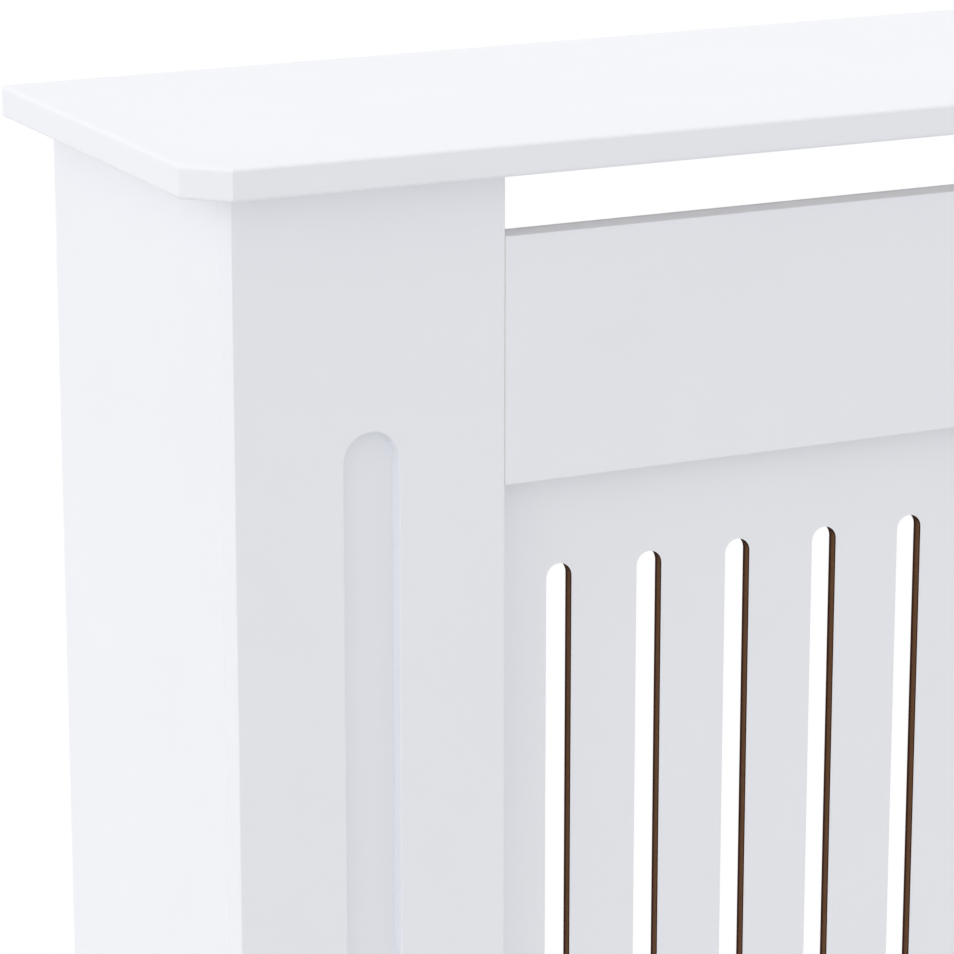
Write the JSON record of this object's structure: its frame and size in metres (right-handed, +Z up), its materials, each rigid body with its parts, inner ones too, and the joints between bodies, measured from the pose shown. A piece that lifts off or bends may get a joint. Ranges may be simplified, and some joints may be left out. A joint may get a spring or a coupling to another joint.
{
  "type": "radiator cover cabinet",
  "caption": "Shallow painted board cover that stands over a radiator: clipped-corner top, side panels, grooved front stiles, rails and a slotted grille, open at the back.",
  "frame": {"origin": "on the floor, in the middle of the outline of the cover, whose width and depth are those of the top board", "axes": "+Z up, +Y towards the wall behind the cover, +X along the wall, to the right as seen from the room"},
  "size_m": [0.8, 0.19, 0.815],
  "materials": {
    "painted_board": "smooth satin white paint on fine fibreboard, edges sealed and painted",
    "grille_board": "satin white paint on both faces of thin fibreboard, with bare brown walls in the slots",
    "beech": "plain turned beech, unfinished",
    "zinc_casting": "matt grey die-cast zinc",
    "zinc_steel": "bright zinc-plated steel",
    "white_plastic": "moulded white polyethylene"
  },
  "bodies": {
    "root": {"top_board": "painted_board", "side_panel_left": "painted_board", "side_panel_right": "painted_board", "front_stile_left": "painted_board", "front_stile_right": "painted_board", "top_rail": "painted_board", "bottom_rail": "painted_board", "grille_panel": "grille_board", "top_dowels": "beech", "stile_dowels_left": "beech", "stile_dowels_right": "beech", "rail_dowels": "beech", "top_cam_bolts": "zinc_steel", "stile_cam_bolts_left": "zinc_steel", "stile_cam_bolts_right": "zinc_steel", "rail_cam_bolts": "zinc_steel", "panel_cams_left": "zinc_casting", "panel_cams_right": "zinc_casting", "rail_cams": "zinc_casting", "grille_screws": "zinc_steel", "wall_bracket_left": "zinc_steel", "wall_bracket_right": "zinc_steel", "bracket_screws": "zinc_steel", "floor_glides": "white_plastic"}
  },
  "joints": []
}
